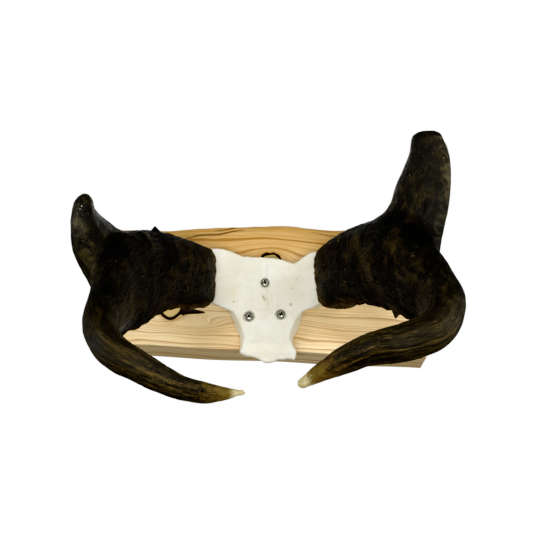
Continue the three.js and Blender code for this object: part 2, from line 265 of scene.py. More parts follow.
class Limb:
    """Rows of x, out of the wall, up, front-to-back width, side width, and the wide direction."""

    def __init__(self, rows, samples, pu=2.2, pv=2.2, nose=4.0, root=0.0, square=0.0):
        R = np.array(rows, float)
        R[:, 1] *= -1
        R[:, 6] *= -1
        t = np.linspace(0, len(R) - 1, samples)
        self.station = t
        self.p = crom(R[:, :3], t)
        self.w = np.maximum(crom(R[:, 3:5], t), 0.8) / 2
        T = np.gradient(self.p, axis=0)
        self.ds = np.linalg.norm(T, axis=1)
        self.T = T / self.ds[:, None]
        a = crom(R[:, 5:8], t)
        a -= (a * self.T).sum(1, keepdims=True) * self.T
        self.a = a / np.linalg.norm(a, axis=1, keepdims=True)
        self.b = np.cross(self.T, self.a)
        self.s = np.concatenate([[0], np.cumsum(np.linalg.norm(np.diff(self.p, axis=0), axis=1))])
        self.pu, self.pv, self.nose, self.root, self.square = pu, pv, nose, root, square

    def local(self, Q):
        """For each point: place along the limb as a sample number, offsets along a and b, half widths, overshoot."""
        P32 = self.p.astype(np.float32)
        pp = (P32 ** 2).sum(1)
        near = np.empty(len(Q), np.int64)
        for k in range(0, len(Q), 60000):
            q = Q[k:k + 60000].astype(np.float32)
            near[k:k + 60000] = np.argmin(pp - 2 * q @ P32.T, axis=1)
        step = ((Q - self.p[near]) * self.T[near]).sum(1) / self.ds[near]
        f = np.clip(near + np.clip(step, -1.0, 1.0), 0, len(self.p) - 1 - 1e-6)
        i = np.floor(f).astype(int)
        g = (f - i)[:, None]
        mix = lambda A: A[i] * (1 - g) + A[i + 1] * g
        r = Q - mix(self.p)
        u, v = (r * mix(self.a)).sum(1), (r * mix(self.b)).sum(1)
        over = (r * mix(self.T)).sum(1)
        w = mix(self.w)
        s = self.s[i] * (1 - g[:, 0]) + self.s[i + 1] * g[:, 0]
        return f, u, v, w[:, 0], w[:, 1], over, s

    def distance(self, Q, loc=None):
        f, u, v, A, B, over, s = self.local(Q) if loc is None else loc
        end = np.where(f > len(self.p) - 1.5, np.maximum(over, 0), 0.0) / self.nose
        if self.root:
            end = end + np.where(f < 0.5, np.maximum(-over, 0), 0.0) / self.root
        more = self.square * np.exp(-(s / 36.0) ** 2)         # squarer towards the root
        pu, pv = self.pu + more, self.pv + more
        r = (np.abs(u) / A) ** pu + (np.abs(v) / B) ** pv + end ** 2
        r = np.maximum(r, 1e-4) ** (1.0 / np.maximum(pu, pv))
        q = np.sqrt(u * u + v * v + over * over * (end > 0))
        return q * (1 - 1 / r)

    def at(self, station):
        k = int(np.argmin(np.abs(self.station - station)))
        return self.p[k], self.T[k], self.a[k], self.b[k], self.w[k]


RIGHT_BEAM = [
    [56, 62, 2.5, 51, 36, 0, .25, 1], [64, 88, 3, 53, 35, 0, .25, 1], [76, 122, -2, 60, 33, 0, .25, 1],
    [90, 158, -12, 64, 31, 0, .25, 1], [102, 194, -32, 58, 28, 0, .35, 1], [110, 224, -51, 40, 25, 0, .5, .9],
    [110, 247, -66, 29, 24, .2, .8, .7], [100, 263, -82, 25, 23, .4, 1, .4], [81, 267, -90, 24, 21, .2, 1, .4],
    [61, 260, -93, 20, 17, .2, 1, .4], [40, 249, -101, 15, 13, .2, 1, .4], [22, 239, -110, 6, 6, .2, 1, .4]]
RIGHT_PRONG = [
    [93, 160, -16, 62, 21, .55, .8, -.2], [101.5, 173, 6, 57, 20, .55, .8, -.2], [108, 187, 31, 54, 20.5, .55, .8, -.2],
    [111.8, 195, 52, 41.5, 17.5, .55, .8, -.2], [110.5, 200, 65, 29.5, 13.5, .55, .8, -.2]]
LEFT_BEAM = [
    [-58, 62, 2.5, 50, 36, 0, .25, 1], [-65, 88, -1, 51, 35, 0, .25, 1], [-78, 122, -8, 57, 33, 0, .25, 1],
    [-91, 158, -22, 66, 31, 0, .25, 1], [-100, 192, -39, 63, 27, 0, .4, 1], [-103, 222, -61, 40, 23, 0, .5, .9],
    [-102, 245, -77, 27, 21, -.2, .8, .7], [-92, 262, -93, 23, 20, -.4, 1, .4], [-74, 266, -105, 22, 18, -.2, 1, .4],
    [-52, 259, -115, 17, 12.5, -.2, 1, .4], [-33, 250, -118, 13, 10, -.2, 1, .4], [-15, 241, -116, 4, 4, -.2, 1, .4]]
LEFT_PRONG = [
    [-94, 158, -31, 66, 22, -.3, .9, -.45], [-109, 182, -17, 64, 26, -.25, .9, -.45], [-118, 203, -6, 46, 26, -.1, .9, -.4],
    [-121, 216, 3, 34, 20, 0, .9, -.4], [-120, 223, 10, 20, 13, 0, .9, -.4]]

HORN_VOXEL = 1.45
RIM_LAP = 3.2               # how far the sheath's ragged rim laps over the bone


def build_horn(name, beam_rows, prong_rows, seed, fillet, spurs, tip_pale, dish):
    side = 1 if beam_rows[0][0] > 0 else -1
    beam = Limb(beam_rows, 240, pu=2.5, pv=2.1, nose=3.0, square=1.5)
    prong = Limb(prong_rows, 120, pu=2.2, pv=1.65, nose=6.8, root=9.0)
    pts = np.concatenate([beam.p - beam.w.max(1)[:, None], beam.p + beam.w.max(1)[:, None],
                          prong.p - prong.w.max(1)[:, None], prong.p + prong.w.max(1)[:, None]])
    lo, hi = pts.min(0) - 4, pts.max(0) + 4
    Q, shape = grid_points(lo, hi, HORN_VOXEL)
    body = lambda P: smin(beam.distance(P), prong.distance(P), fillet)
    d, near = coarse_to_fine(body, lo, hi, HORN_VOXEL, Q, shape, 7.0)
    q = Q[near]
    d[near] += 0.55 * fbm(q / 26, 2, seed) + 0.3 * noise(q / 9, seed + 5)
    # ragged lower rim, lapping a little over the bone
    T0, p0 = beam.T[0], beam.p[0]
    low = (Q - p0) @ T0
    at = near & (np.abs(low) < 12)
    rim = np.full(len(Q), RIM_LAP)
    rim[at] += 1.5 * fbm((Q[at] - np.outer(low[at], T0)) / 7, 3, seed + 9)
    d = smax(d, -(low + rim), 2.2)
    V, F = surface_nets(d.reshape(shape), lo, HORN_VOXEL)
    V = relax(V, F, 3)
    ob = mesh_object(name, V, F, subdivide=1)

    V, N = read_points(ob)
    lb, lp = beam.local(V), prong.local(V)
    db, dp = beam.distance(V, lb), prong.distance(V, lp)
    w = smooth(-7.0, 7.0, db - dp)                       # 0 on the beam, 1 on the prong
    thb = np.arctan2(lb[2] / lb[4], lb[1] / lb[3])
    thp = np.arctan2(lp[2] / lp[4], lp[1] / lp[3])
    sb, sp = lb[6], lp[6]
    total_b, total_p = beam.s[-1], prong.s[-1]
    fib_b = np.stack([lb[1], lb[2], sb], 1)
    fib_p = np.stack([lp[1] + 90, lp[2], sp], 1)
    fib = fib_b * (1 - w)[:, None] + fib_p * w[:, None]
    tip = total_b - sb
    tine = smooth(200, 262, sb) * (1 - w)                # the hooked, streaked end
    hook = smooth(125, 205, sb) * (1 - w)
    ptip = smooth(38, 6, total_p - sp) * w               # polished end of the prong
    base = smooth(150, 20, sb) * (1 - w)                 # rough lower shaft

    # lengthwise fibre: ridges that run along the horn
    streak = lambda g, k, long, sd: fbm(np.stack([g[:, 0] / k, g[:, 1] / k, g[:, 2] / long], 1), 3, sd, 0.6)
    ridge_b, ridge_p = streak(fib_b, 3.4, 60, seed + 20), streak(fib_p, 3.2, 46, seed + 21)
    ridge = ridge_b * (1 - w) + ridge_p * w
    fine = streak(fib, 1.5, 22, seed + 22)
    amount = (0.36 + 0.22 * tine) * (1 - 0.75 * ptip) * smooth(0, 26, tip) + 0.08
    disp = amount * ridge + 0.17 * fine * (1 - 0.6 * ptip)
    # small pearls and scurf on the lower shaft
    c = cells(np.stack([fib[:, 0] / 3.2, fib[:, 1] / 3.2, fib[:, 2] / 6.5], 1), seed + 30)
    pearls = np.maximum(0, 0.5 - c) / 0.5
    patch = smooth(-0.15, 0.45, fbm(V / 22, 2, seed + 33))
    disp += 0.55 * pearls ** 1.4 * (0.2 + 0.8 * patch) * (0.8 * base + 0.2 * (1 - tine) * (1 - ptip))
    disp += 0.30 * fbm(V / 2.6, 2, seed + 35) * base
    # shrinkage cracks that open along the fibre
    split = np.abs(streak(fib, 6.0, 34, seed + 37))
    disp -= 0.45 * smooth(0.05, 0.0, split) * (1 - ptip) * smooth(4, 30, tip)
    # the hind edge of the shaft is frayed
    back = smooth(0.80, 0.99, -np.cos(thb)) * (1 - w)
    hind = back * smooth(6, 24, sb) * smooth(215, 160, sb)
    disp += hind * 3.4 * (fbm(np.stack([sb / 5.0, lb[2] / 14, sb * 0], 1), 3, seed + 40) - 0.05)
    # fraying at the rim
    lip = smooth(9, 0, sb)
    disp += lip * 0.9 * fbm(V / 4.2, 3, seed + 44)
    # a smooth hollow on the outer face just below the prong's tip
    gloss = np.zeros(len(V))
    if dish:
        depth, back_from_tip, across, length, width = dish
        hollow = np.exp(-((total_p - sp - back_from_tip) / length) ** 2 - ((lp[1] / lp[3] - across) * lp[3] / width) ** 2)
        hollow *= smooth(0.15, 0.5, N[:, 0] * side) * w
        disp -= depth * hollow
        gloss = np.maximum(gloss, smooth(0.2, 0.6, hollow))
    V = V + N * disp[:, None]
    # a few pointed spurs: station, angle round the section, radius, height, forward lean
    for st, ang, rad, height, lean in spurs:
        p, T, a, b, ww = beam.at(st)
        out = math.cos(math.radians(ang)) * a + math.sin(math.radians(ang)) * b
        reach = math.hypot(math.cos(math.radians(ang)) * ww[0], math.sin(math.radians(ang)) * ww[1])
        root = p + out * reach
        rel = V - root
        flat = rel - np.outer(rel @ out, out)
        r = np.sqrt((flat @ T) ** 2 + (flat @ np.cross(T, out)) ** 2 * 0.7)
        lift = np.maximum(0, 1 - r / rad) ** 1.5 * (np.abs(rel @ out) < rad * 1.6)
        V = V + lift[:, None] * height * (out + lean * T)
    write_points(ob, V)

    edge = smooth(0.80, 0.99, np.abs(np.cos(thp))) * w    # the blade's two edges
    attribute(ob, "fib", fib)
    attribute(ob, "tip", tip - tip_pale)
    attribute(ob, "tine", tine)
    attribute(ob, "hook", hook)
    attribute(ob, "base", base)
    attribute(ob, "edge", edge)
    attribute(ob, "hind", np.clip(back * smooth(215, 150, sb) + 0.8 * smooth(14, 2, sb), 0, 1))
    attribute(ob, "gloss", np.clip(np.maximum(gloss, ptip * edge), 0, 1))
    attribute(ob, "relief", np.clip(0.5 + 0.5 * ridge + 0.5 * fine + 0.7 * pearls * base, 0, 1))
    attribute(ob, "prong", w * smooth(0.25, 0.75, sp / total_p))
    return ob, beam, prong


horn_left, beam_left, prong_left = build_horn(
    "horn_left", LEFT_BEAM, LEFT_PRONG, 101, 8.0,
    [(2.2, 0, 4.2, 4.2, 0.0), (2.55, 180, 4.6, 3.2, 0.0), (2.9, 178, 4.2, 2.6, 0.1), (3.2, 172, 5.5, 3.4, 0.2), (3.75, 178, 5, 2.6, 0.1)],
    8.0, (4.4, 13.0, 0.15, 8.5, 6.0))
horn_right, beam_right, prong_right = build_horn(
    "horn_right", RIGHT_BEAM, RIGHT_PRONG, 207, 15.0, [(3.34, 176, 4.4, 6.6, 0.25), (2.7, 180, 4.5, 2.4, 0.0), (1.6, 182, 5, 2.0, 0.0)], 6.0, None)

# =============================================================================================
# skull plate
# =============================================================================================
BOARD_FACE = 38.0
PLATE_VOXEL = 0.9
# height, half width left and right, distance out of the wall in the middle, its drop towards the rim, and at the rim
PLATE_ROWS = np.array([
    [30, 46, 46, 53.0, -5.0, 70],
    [20.3, 44, 40, 54.5, -5.5, 70],
    [8, 43, 41, 57.0, -6.0, 70],
    [-5, 43, 42, 58.6, -3.2, 68],
    [-17, 42, 42, 59.4, 2.5, 62],
    [-21, 37, 38, 59.7, 2.5, 52],
    [-24.5, 29.5, 31, 60.0, 1.8, 46.5],
    [-31.5, 26.6, 27.2, 60.2, 2.0, 44.5],
    [-37, 24.2, 24.8, 59.8, 2.0, 43.6],
    [-45, 21.4, 21.8, 58.2, 2.0, 44.0],
    [-51, 21.0, 22.6, 56.4, 1.8, 46.5],
    [-56, 22.0, 24.4, 55.4, 1.8, 50.0],
    [-66, 21, 23, 52.6, 1.8, 50.0]])
# outline seen from the front, from the left end of the sawn edge round to the right, down and back up
PLATE_OUTLINE = np.array([
    (-52, 26), (-42.6, 27.8), (-39, 28.6), (-33.6, 27.8), (-25.5, 25.2), (-17.4, 21.9), (-10, 21.6), (-3.6, 21.6), (2.8, 21.0),
    (10.9, 20.0), (17, 17.6), (21.9, 15.4), (24.2, 16.6), (31.2, 21.7), (37.7, 25.3), (44, 26), (52, 24),
    (54, 4), (52, -11), (44.8, -17.9), (41.5, -20.2), (35, -22), (30.2, -23.6), (28.4, -27), (27.3, -31), (24.6, -37.6), (21.6, -43.5),
    (21.6, -48.5), (23.6, -52.6), (24.4, -55.5), (23.2, -59.6), (21.6, -62.3), (16.4, -62.0), (9.6, -62.6), (5, -64.6), (1, -65.0), (-2.6, -63.8),
    (-5.5, -61.6), (-10, -60.6), (-15.5, -59.6), (-20.2, -57.6), (-21.9, -55.6), (-20.9, -51.8), (-20.9, -47.5), (-22, -42),
    (-24.5, -36), (-26.9, -29.6), (-28.4, -24.8), (-31.5, -22.4), (-36.4, -20.4), (-44, -17.1), (-52, -10), (-55, 5)])
SCREWS = {"screw_top": (-1.2, -0.8, 57.0, 12), "screw_lower_left": (-13.9, -28.6, 57.4, 38),
          "screw_lower_right": (11.5, -27.0, 57.9, 65)}


def closed_curve(points, per=6):
    n = len(points)
    P = np.concatenate([points[-2:], points, points[:3]])
    t = 2 + np.arange(n * per) / per
    i = np.floor(t).astype(int)
    f = (t - i)[:, None]
    return 0.5 * crom(P, t) + 0.5 * (P[i] * (1 - f) + P[i + 1] * f)


def outline_distance(X, Z, loop):
    """Signed distance to a closed loop, negative inside."""
    P = np.stack([X, Z], 1)
    best = np.full(len(P), 1e9)
    inside = np.zeros(len(P), bool)
    A, B = loop, np.roll(loop, -1, axis=0)
    for a, b in zip(A, B):
        ab = b - a
        t = np.clip(((P - a) @ ab) / max(ab @ ab, 1e-9), 0, 1)
        best = np.minimum(best, ((P - a - t[:, None] * ab) ** 2).sum(1))
        if a[1] != b[1]:
            cross = (a[1] > P[:, 1]) != (b[1] > P[:, 1])
            xi = a[0] + (P[:, 1] - a[1]) * ab[0] / ab[1]
            inside ^= cross & (P[:, 0] < xi)
    d = np.sqrt(best)
    return np.where(inside, -d, d)


def plate_top(X, Z):
    """Distance out of the wall of the bone's face."""
    rows = PLATE_ROWS[::-1]
    at = lambda k: np.interp(Z, rows[:, 0], rows[:, k])
    side = np.where(X < 0, at(1), at(2))
    u = np.abs(X) / side
    n = at(3) - at(4) * np.minimum(u, 1.15) ** 2.3
    # low middle ridge in front, shallow hollows beside it, raised temporal lines
    n += 0.5 * np.exp(-(X / 5.0) ** 2) * smooth(-6, 14, Z)
    n -= 0.7 * np.exp(-((np.abs(X) - 17) / 8) ** 2) * smooth(-22, 0, Z) * smooth(24, 10, Z)
    inside = side - np.abs(X)
    n += 0.7 * np.exp(-((inside - 6.5) / 2.0) ** 2) * smooth(-24, -30, Z) * smooth(-58, -50, Z)
    # steep side walls of the braincase
    n = smin(n, at(5) + 3.6 * inside, 1.5)
    # the crest at the lower end
    n += 1.2 * np.exp(-((Z + 58.0 - 0.004 * X * X) / 2.6) ** 2) * smooth(26, 16, np.abs(X))
    n -= 1.0 * np.exp(-((Z + 51.0) / 3.2) ** 2) * np.exp(-((np.abs(X) - 11) / 6) ** 2)
    n += 1.3 * np.exp(-((Z + 62.5) / 3.4) ** 2 - ((X - 1) / 4.5) ** 2)
    return n


def build_plate():
    lo, hi = np.array([-80.0, -74.0, -70.0]), np.array([80.0, -BOARD_FACE + 2.5, 34.0])
    Q, shape = grid_points(lo, hi, PLATE_VOXEL)
    nx, ny, nz = shape
    gx, gz = lo[0] + PLATE_VOXEL * np.arange(nx), lo[2] + PLATE_VOXEL * np.arange(nz)
    X, Z = [g.ravel() for g in np.meshgrid(gx, gz, indexing="ij")]
    loop = closed_curve(PLATE_OUTLINE)
    flat = outline_distance(X, Z, loop).reshape(nx, nz)
    wob = noise(np.stack([X / 5, Z / 5, X * 0], 1), 5) * 0.5 + noise(np.stack([X / 2.2, Z / 2.2, X * 0], 1), 6) * 0.25
    flat = flat + wob.reshape(nx, nz)
    top = plate_top(X, Z).reshape(nx, nz)
    out = -Q[:, 1].reshape(shape)
    # the walls lean in towards the board a little, and the rim is rounded
    under = (smooth(-27, -21, Z) + smooth(-50, -55, Z)).reshape(nx, 1, nz)
    side = flat[:, None, :] + 0.06 * (BOARD_FACE + 8 - out).clip(0) + 0.7 * under * (top[:, None, :] - 3.5 - out).clip(0)
    d = smax(side, out - top[:, None, :], 1.3)
    d = smax(d, BOARD_FACE + 0.2 - out, 0.8).ravel()
    for limb, sx in ((beam_left, -1), (beam_right, 1)):
        p0, T0 = limb.p[0], limb.T[0]
        ap, lat = 2 * limb.w[0]
        foot = Limb([[p0[0] * 0.95, 37.0, p0[2] + 2.5, ap * 0.62, lat * 0.80, 0, .25, 1],
                     [p0[0] * 0.97, 50.0, p0[2] + 1.5, ap * 0.72, lat * 0.84, 0, .25, 1],
                     [p0[0] + T0[0] * 2, -p0[1] - T0[1] * 2, p0[2] + T0[2] * 2, ap * 0.90, lat * 0.92, 0, .25, 1]], 40)
        df = foot.distance(Q)
        df = np.maximum(df, (Q - p0) @ T0 + 0.4)
        df = np.maximum(df, BOARD_FACE + 0.2 - (-Q[:, 1]))
        d = smin(d, df, 4.0)
        # no bone inside the sheath above the rim
        clear = np.maximum(limb.distance(Q) - 0.35, -((Q - p0) @ T0 + RIM_LAP - 0.6))
        d = smax(d, -clear, 0.6)
    for x, z, seat, turn in SCREWS.values():
        r = np.hypot(Q[:, 0] - x, Q[:, 2] - z)
        o = -Q[:, 1]
        d = smax(d, -np.maximum(r - 2.2, 20 - o), 0.5)
        d = smax(d, -np.maximum(r - 4.3, seat - o), 0.9)
    d = np.maximum(d, BOARD_FACE + 0.2 + Q[:, 1])
    V, F = surface_nets(d.reshape(shape), lo, PLATE_VOXEL)
    V = relax(V, F, 2)
    ob = mesh_object("skull_plate_bone", V, F, subdivide=1)
    V, N = read_points(ob)
    x, o, z = V[:, 0], -V[:, 1], V[:, 2]
    front = smooth(0.2, 0.7, -N[:, 1])
    crest = smooth(-47, -55, z)
    disp = 0.38 * fbm(V / 9, 3, 51) + 0.15 * fbm(V / 2.4, 3, 52) + 0.55 * crest * fbm(V / 4.2, 3, 58)
    # faint vessel grooves and pits, kept off the board side
    groove = np.abs(fbm(np.stack([x / 13, z / 9, x * 0], 1), 3, 53))
    disp -= 0.28 * smooth(0.06, 0.0, groove) * front * smooth(36, 30, np.abs(x))
    # middle suture in front of the braincase and the zigzag one across it
    zig = x - 0.3 - 0.7 * noise(np.stack([z / 1.5, z * 0, z * 0], 1), 54) - 0.5 * noise(np.stack([z / 4, z * 0, z * 0 + 3], 1), 55)
    mid = np.exp(-(zig / 0.42) ** 2) * smooth(-26, -18, z) * smooth(19, 10, z)
    cor = z + 23 + 0.012 * x * x - 1.2 * noise(np.stack([x / 1.8, x * 0, x * 0], 1), 56) - 1.0 * noise(np.stack([x / 5, x * 0, x * 0 + 4], 1), 57)
    across = np.exp(-(cor / 0.45) ** 2) * smooth(27, 22, np.abs(x))
    suture = np.maximum(mid * 0.5, across * 0.3) * front
    disp -= 0.30 * suture
    # slit in the middle and two small openings for vessels
    slit = np.exp(-((((x + 2.2) * 0.86 + (z + 13.5) * 0.5) / 0.75) ** 2 + (((z + 13.5) * 0.86 - (x + 2.2) * 0.5) / 2.4) ** 2)) * front
    holes = sum(np.exp(-(((x - hx) ** 2 + (z - hz) ** 2) / hr ** 2)) for hx, hz, hr in
                ((19.3, -18.8, 0.9), (-26.3, -16.6, 0.6), (20.6, -5.6, 0.45), (24.0, 1.5, 0.4))) * front
    disp -= 1.0 * slit + 1.1 * holes
    V = V + N * disp[:, None]
    write_points(ob, V)
    blot = lambda cx, cz, rx, rz: np.exp(-((x - cx) / rx) ** 2 - ((z - cz) / rz) ** 2)
    stain = (0.9 * blot(-29, -9, 7, 8) + 0.9 * blot(22, -6, 8, 10) + 0.5 * blot(28, 12, 9, 8) + 0.4 * blot(-32, 14, 8, 9)
             + 0.5 * blot(1, -20, 4, 9) + 0.35 * blot(-24, -34, 5, 9) + 0.35 * blot(24, -34, 5, 9) + 0.3 * blot(0, -55, 16, 6))
    stain = np.clip(stain * (0.75 + 0.5 * fbm(V / 6, 3, 61)), 0, 1)
    attribute(ob, "stain", stain)
    # pits: the slit, vessel openings and suture grooves, darkened in the bone colour as painted shade inside these
    # dents
    attribute(ob, "pits", np.clip(suture * 0.45 + slit + holes, 0, 1))
    # rim: faces turned away from the front; the bone colour darkens these side walls and edges as painted shade
    attribute(ob, "rim", np.clip(1 - front, 0, 1))
    return ob


plate = build_plate()

# =============================================================================================
# plaque
# =============================================================================================
BOARD_LEFT, BOARD_RIGHT = -125.0, 129.0
BOARD_LEAN = 2.4                           # the sawn lower face drops this much towards the wall
KNOT_L = (-78.3, -15.6, 9.4, 9.8)          # x, height, half width, half height
KNOT_T = (3.2, 20.8, 8.8, 8.6)


def board_top(x):
    f = (x - BOARD_LEFT) / (BOARD_RIGHT - BOARD_LEFT)
    return 52.3 - 1.2 * (2 * f - 1) ** 2 + 3.2 * np.exp(-(((x + 4) / 34) ** 2)) + 0.7 * np.sin(x / 11)


def board_bottom(x):
    return -52.5 - 0.045 * x + 0.5 * np.sin(x / 17 + 1)


def grain_height(x, z, o):
    """The height of the growth layer through a point: nearly level, parted round the knots."""
    deep = (38 - o) * 0.45                  # layers dip towards the back
    g = z + deep + 3.2 * fbm(np.stack([x / 80, z / 30, o / 40], 1), 2, 71) + 0.9 * fbm(np.stack([x / 26, z / 9, o / 16], 1), 2, 72) + 0.05 * x
    for (kx, kz, rx, rz), flare, keep in ((KNOT_L, 0.55, 17.0), (KNOT_T, 1.05, 22.0)):
        dx, dz = x - kx, z - kz
        reach = rx * 1.25 + flare * np.abs(dz)
        push = (rz + 1.0) * np.exp(-(dx / reach) ** 2) * np.exp(-np.maximum(np.abs(dz) - rz * 0.6, 0) / keep)
        g = g - np.sign(dz) * push * smooth(0, 4.0, np.abs(dz))
    # closed loops between the left knot and the bone, where the cut runs along a layer
    for lx, lz, wide, tall, lift in ((-93, -27, 15, 5.0, 8.0), (-56, -31, 19, 5.5, 8.5), (-78, -40, 24, 5.0, -3.5)):
        g = g + lift * np.exp(-(((x - lx) / wide) ** 2 + ((z - lz) / tall) ** 2))
    ex, ez = (x - 96) / 26, (z + 12) / 6.0
    g = g + 7.0 * np.exp(-(ex ** 2 + ez ** 2))
    return g


def build_board():
    xs = np.concatenate([[BOARD_LEFT], np.arange(BOARD_LEFT + 0.4, BOARD_RIGHT, 0.95), [BOARD_RIGHT]])
    # section: fractions of the way round, dense on the face and the live edge
    def section(x):
        top, bot = board_top(np.array([x]))[0], board_bottom(np.array([x]))[0]
        pts = []
        ease = 1.1
        heel = bot - BOARD_LEAN
        for k in range(7):
            a = math.pi / 2 * k / 6
            pts.append((ease * (1 - math.sin(a)), heel + ease * (1 - math.cos(a))))
        for k in range(1, 30):
            pts.append((0.0, heel + ease + (top - 5 - heel - ease) * k / 30))
        for k in range(12):
            a = math.pi / 2 * k / 11
            pts.append((5 * (1 - math.cos(a)), top - 5 * (1 - math.sin(a))))
        for k in range(1, 20):
            pts.append((5 + (38 - 9 - 5) * k / 20, top))
        for k in range(18):
            a = math.pi / 2 * (1 - k / 17)
            pts.append((38 - 9 * (1 - math.cos(a)), top - 9 * (1 - math.sin(a))))
        for k in range(1, 104):
            pts.append((38.0, top - 9 + (bot + ease - top + 9) * k / 104))
        for k in range(7):
            a = math.pi / 2 * k / 6
            pts.append((38 - ease * (1 - math.cos(a)), bot + ease * (1 - math.sin(a))))
        for k in range(1, 30):
            pts.append((38 - ease + (2 * ease - 38) * k / 30, bot + (heel - bot) * k / 30))
        return np.array(pts)
    rings = [np.column_stack([np.full(len(sec), x), -sec[:, 0], sec[:, 1]]) for x in xs for sec in [section(x)]]
    m = len(rings[0])
    V = np.concatenate(rings)
    i = np.arange(len(xs) - 1)[:, None]
    j = np.arange(m)[None, :]
    k = (j + 1) % m
    F = np.stack([i * m + j, i * m + k, (i + 1) * m + k, (i + 1) * m + j], -1).reshape(-1, 4)
    # ends: rings drawn in to the middle line of the section
    for end in (0, len(xs) - 1):
        ring = V[end * m:(end + 1) * m]
        c = np.array([ring[:, 0].mean(), -19.0, 0.0])
        prev = end * m + np.arange(m)
        for step in range(1, 15):
            f = 1 - step / 15
            inner = ring.copy()
            inner[:, 1] = c[1] + (ring[:, 1] - c[1]) * f
            mid = np.clip(ring[:, 2], -34, 30)
            inner[:, 2] = mid + (ring[:, 2] - mid) * f
            now = len(V) + np.arange(m)
            V = np.concatenate([V, inner])
            nxt = lambda q: np.roll(q, -1)
            quad = np.stack([prev, now, nxt(now), nxt(prev)], 1) if end == 0 else np.stack([prev, nxt(prev), nxt(now), now], 1)
            F = np.concatenate([F, quad])
            prev = now
    # close the slit that is left along the middle line by pairing points across it
    ob = mesh_object("plaque_wood", V, F)
    import bmesh
    bm = bmesh.new()
    bm.from_mesh(ob.data)
    bmesh.ops.remove_doubles(bm, verts=bm.verts, dist=1e-6)
    loose = [e for e in bm.edges if e.is_boundary]
    bmesh.ops.holes_fill(bm, edges=loose, sides=0)
    bmesh.ops.triangulate(bm, faces=[f for f in bm.faces if len(f.verts) > 4])
    bmesh.ops.recalc_face_normals(bm, faces=bm.faces)
    bm.to_mesh(ob.data)
    bm.free()
    ob.data.update()

    V, N = read_points(ob)
    x, o, z = V[:, 0], -V[:, 1], V[:, 2]
    front = smooth(0.3, 0.9, -N[:, 1])
    live = smooth(0.15, 0.6, N[:, 2]) * smooth(30, 40, z)      # natural upper edge
    back = smooth(0.7, 0.95, N[:, 1])
    g = grain_height(x, z, o)
    disp = front * (0.10 * fbm(np.stack([x / 30, z / 14, o / 20], 1), 2, 81) - 0.05 + 0.06 * noise(np.stack([x / 40, g / 1.3, o * 0], 1), 82))
    disp += live * (0.9 * fbm(np.stack([x / 16, o / 9, z * 0], 1), 3, 83) + 0.35 * noise(np.stack([x / 30, o / 1.6, z * 0], 1), 84) - 0.3)
    # left knot: a dark seam round a pale core, with a wedge of bark beside it
    def knot(kx, kz, rx, rz):
        th = np.arctan2((z - kz) / rz, (x - kx) / rx)
        wob = 0.02 * np.sin(3 * th + kx) + 0.02 * np.sin(5 * th)
        return np.hypot((x - kx) / rx, (z - kz) / rz) * (1 + wob)
    kl, kt = knot(*KNOT_L), knot(*KNOT_T)
    seam_l = np.abs(kl - 1.0) * KNOT_L[2]
    seam_t = np.abs(kt - 1.0) * KNOT_T[3]
    along = (x + 71.5) / 22.0
    spine = -20.4 + 0.5 * along + 0.6 * np.sin(along * 5)
    width = 3.3 * np.clip(1 - along, 0, 1) ** 0.7 * smooth(0.02, 0.14, along)
    wedge = np.abs(z - spine) - width * (1 + 0.18 * noise(np.stack([x / 2.5, z / 9, x * 0], 1), 85))
    wedge = np.where((along < 0.03) | (along > 1), 9.0, wedge)
    bark = np.minimum(wedge, np.minimum(seam_l - 1.15, seam_t - 0.45 - 0.6 * noise(np.stack([x / 3.0, z / 3.0, x * 0], 1), 86) - 0.5 * smooth(22, 29, z)))
    far = smooth(24, 8, o)
    bark, kl, kt = bark + 12 * far, kl + 3 * far, kt + 3 * far
    disp -= front * 1.7 * smooth(0.5, -1.0, bark)
    disp += front * 0.35 * smooth(1.0, 0.75, kl)
    # long drying cracks near the live edge
    crack = np.full(len(x), 9.0)
    for x0, z0, x1, z1, wd in ((-66, 42.6, -18, 49.6, 0.8), (-92, 39.0, -50, 44.6, 0.5), (36, 47.0, 78, 42.5, 0.4), (-44, 49.5, -24, 51.6, 0.5)):
        t = (x - x0) / (x1 - x0)
        line = z0 + (z1 - z0) * t + 0.7 * np.sin(x / 5.0)
        crack = np.minimum(crack, np.where((t > 0) & (t < 1), np.abs(z - line) - wd * np.clip(4 * t * (1 - t), 0, 1) ** 0.5, 9))
    disp -= front * 0.6 * smooth(0.4, -0.5, crack)
    disp *= 1 - back
    V = V + N * disp[:, None]
    write_points(ob, V)
    ob.data.set_sharp_from_angle(angle=math.radians(50))
    end = smooth(0.8, 0.97, np.abs(N[:, 0]))
    amber = np.clip(smooth(10, 40, z + 6 * fbm(np.stack([x / 30, z / 16, o / 30], 1), 2, 88)) + 0.5 * live, 0, 1)
    attribute(ob, "wood", np.stack([x, g, o], 1))
    attribute(ob, "kl", kl)
    attribute(ob, "kt", kt)
    attribute(ob, "bark", bark)
    attribute(ob, "crack", crack)
    attribute(ob, "amber", amber)
    attribute(ob, "endgrain", end)
    attribute(ob, "live", live)
    # downward faces, darkened in the wood colour as painted shade
    attribute(ob, "underside_shade", smooth(0.5, 0.9, -N[:, 2]))
    attribute(ob, "saw", front * smooth(52, 66, x) * smooth(112, 100, x) * smooth(-34, -26, z) * smooth(6, -4, z))
    return ob


board = build_board()

# =============================================================================================
# screws
# =============================================================================================


